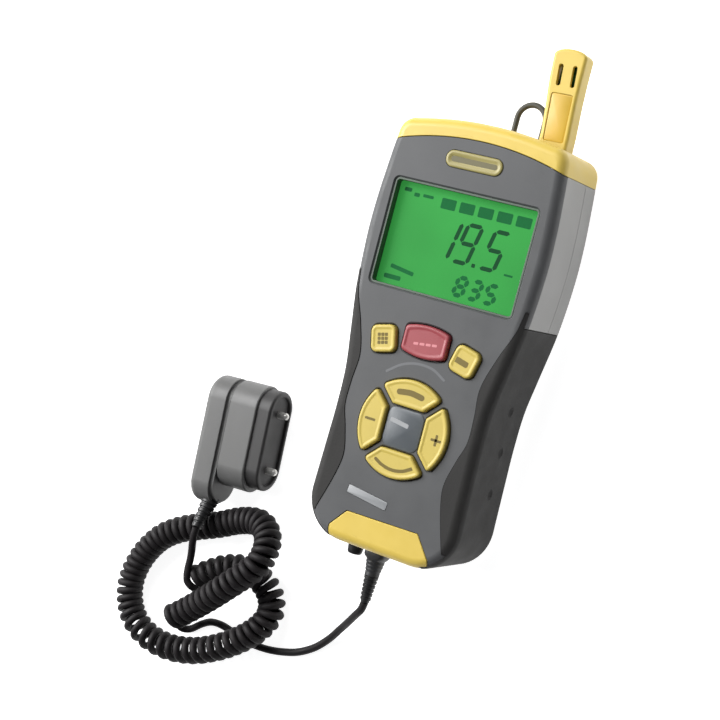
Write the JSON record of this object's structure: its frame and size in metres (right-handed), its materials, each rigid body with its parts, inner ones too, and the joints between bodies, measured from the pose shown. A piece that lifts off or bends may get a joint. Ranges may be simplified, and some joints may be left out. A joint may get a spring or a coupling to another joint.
{
  "type": "handheld environmental meter",
  "caption": "Handheld environment meter with a slotted humidity sensor stalk, backlit display, ring keypad and a remote contact-pin probe on a curly lead.",
  "frame": {"origin": "middle of the meter's flat back, which it lies on", "axes": "+Z out of the display side, -Z out of the flat back, +Y from the plug end towards the sensor stalk, +X to the right as the display is read"},
  "size_m": [0.1691, 0.2872, 0.0396],
  "materials": {
    "panel_plastic": "fine-textured mid-grey moulded plastic",
    "back_plastic": "light warm-grey moulded plastic, lightly textured",
    "grip_rubber": "dark soft-touch rubber, matt",
    "yellow_plastic": "semi-gloss yellow moulded plastic",
    "amber_plastic": "semi-gloss amber-yellow moulded plastic",
    "badge_plastic": "plain badge with a yellow rim and an olive field",
    "label_plastic": "plain light-grey label strip",
    "black_plastic": "satin black plastic",
    "clear_lens": "clear glossy display window",
    "display_glass": "green backlit liquid-crystal display",
    "white_plastic": "milky light guide",
    "circuit_board": "green glass-fibre circuit board",
    "keypad_rubber": "translucent grey silicone mat",
    "battery_jacket": "plain dark steel battery jacket",
    "black_rubber": "soft black rubber",
    "cord_jacket": "soft black cord jacket with a slight sheen",
    "yellow_rubber": "yellow silicone key, satin",
    "red_rubber": "dull red silicone key, satin",
    "probe_plastic": "fine-textured light-grey moulded plastic",
    "nose_plastic": "dark grey moulded plastic",
    "contact_metal": "bright nickel-plated contact",
    "screw_steel": "zinc-plated steel screw"
  },
  "bodies": {
    "meter": {"front_case": "panel_plastic", "rear_case": "back_plastic", "grip_left": "grip_rubber", "grip_right": "grip_rubber", "top_cap": "yellow_plastic", "bottom_cap": "yellow_plastic", "badge": "badge_plastic", "nameplate": "label_plastic", "lcd_bezel": "black_plastic", "lcd_lens": "clear_lens", "lcd_panel": "display_glass", "backlight": "white_plastic", "main_board": "circuit_board", "keypad_mat": "keypad_rubber", "battery": "battery_jacket", "battery_snap": "black_plastic", "buzzer": "black_plastic", "jack_socket": "black_plastic", "case_screw_1": "screw_steel", "case_screw_2": "screw_steel", "case_screw_3": "screw_steel", "case_screw_4": "screw_steel", "sensor_housing": "amber_plastic", "sensor_element": "circuit_board", "strap_loop": "black_rubber"},
    "key_left": {"key_left": "yellow_rubber"},
    "key_power": {"key_power": "red_rubber"},
    "key_right": {"key_right": "yellow_rubber"},
    "key_up": {"key_up": "yellow_rubber"},
    "key_next": {"key_next": "yellow_rubber"},
    "key_down": {"key_down": "yellow_rubber"},
    "key_back": {"key_back": "yellow_rubber"},
    "battery_cover": {"battery_cover": "back_plastic"},
    "port_stopper": {"port_stopper": "black_rubber"},
    "lead": {"plug_body": "black_plastic", "plug_tip": "contact_metal", "plug_boot": "black_rubber", "meter_lead": "cord_jacket", "curly_cord": "cord_jacket", "probe_lead": "cord_jacket", "probe_boot": "black_rubber", "probe_rear_shell": "probe_plastic", "probe_front_shell": "probe_plastic", "probe_nose": "nose_plastic", "probe_pin_1": "contact_metal", "probe_pin_2": "contact_metal", "probe_board": "circuit_board", "probe_screw_1": "screw_steel", "probe_screw_2": "screw_steel"}
  },
  "joints": [
    {"name": "key_left_press", "type": "slide", "parent": "meter", "child": "key_left", "axis": [0, 0, -1], "range_m": [0, 0.0008], "stiffness_N_per_m": 1200, "springref_m": -0.0002},
    {"name": "key_power_press", "type": "slide", "parent": "meter", "child": "key_power", "axis": [0, 0, -1], "range_m": [0, 0.0008], "stiffness_N_per_m": 1200, "springref_m": -0.0002},
    {"name": "key_right_press", "type": "slide", "parent": "meter", "child": "key_right", "axis": [0, 0, -1], "range_m": [0, 0.0008], "stiffness_N_per_m": 1200, "springref_m": -0.0002},
    {"name": "key_up_press", "type": "slide", "parent": "meter", "child": "key_up", "axis": [0, 0, -1], "range_m": [0, 0.0008], "stiffness_N_per_m": 1200, "springref_m": -0.0002},
    {"name": "key_next_press", "type": "slide", "parent": "meter", "child": "key_next", "axis": [0, 0, -1], "range_m": [0, 0.0008], "stiffness_N_per_m": 1200, "springref_m": -0.0002},
    {"name": "key_down_press", "type": "slide", "parent": "meter", "child": "key_down", "axis": [0, 0, -1], "range_m": [0, 0.0008], "stiffness_N_per_m": 1200, "springref_m": -0.0002},
    {"name": "key_back_press", "type": "slide", "parent": "meter", "child": "key_back", "axis": [0, 0, -1], "range_m": [0, 0.0008], "stiffness_N_per_m": 1200, "springref_m": -0.0002},
    {"name": "battery_cover_slide", "type": "slide", "parent": "meter", "child": "battery_cover", "axis": [0, -1, 0], "range_m": [0, 0.04]},
    {"name": "port_stopper_pull", "type": "slide", "parent": "meter", "child": "port_stopper", "axis": [0, -1, 0], "range_m": [0, 0.008]},
    {"name": "plug_pull", "type": "slide", "parent": "meter", "child": "lead", "axis": [0, -1, 0], "range_m": [0, 0.018]}
  ]
}
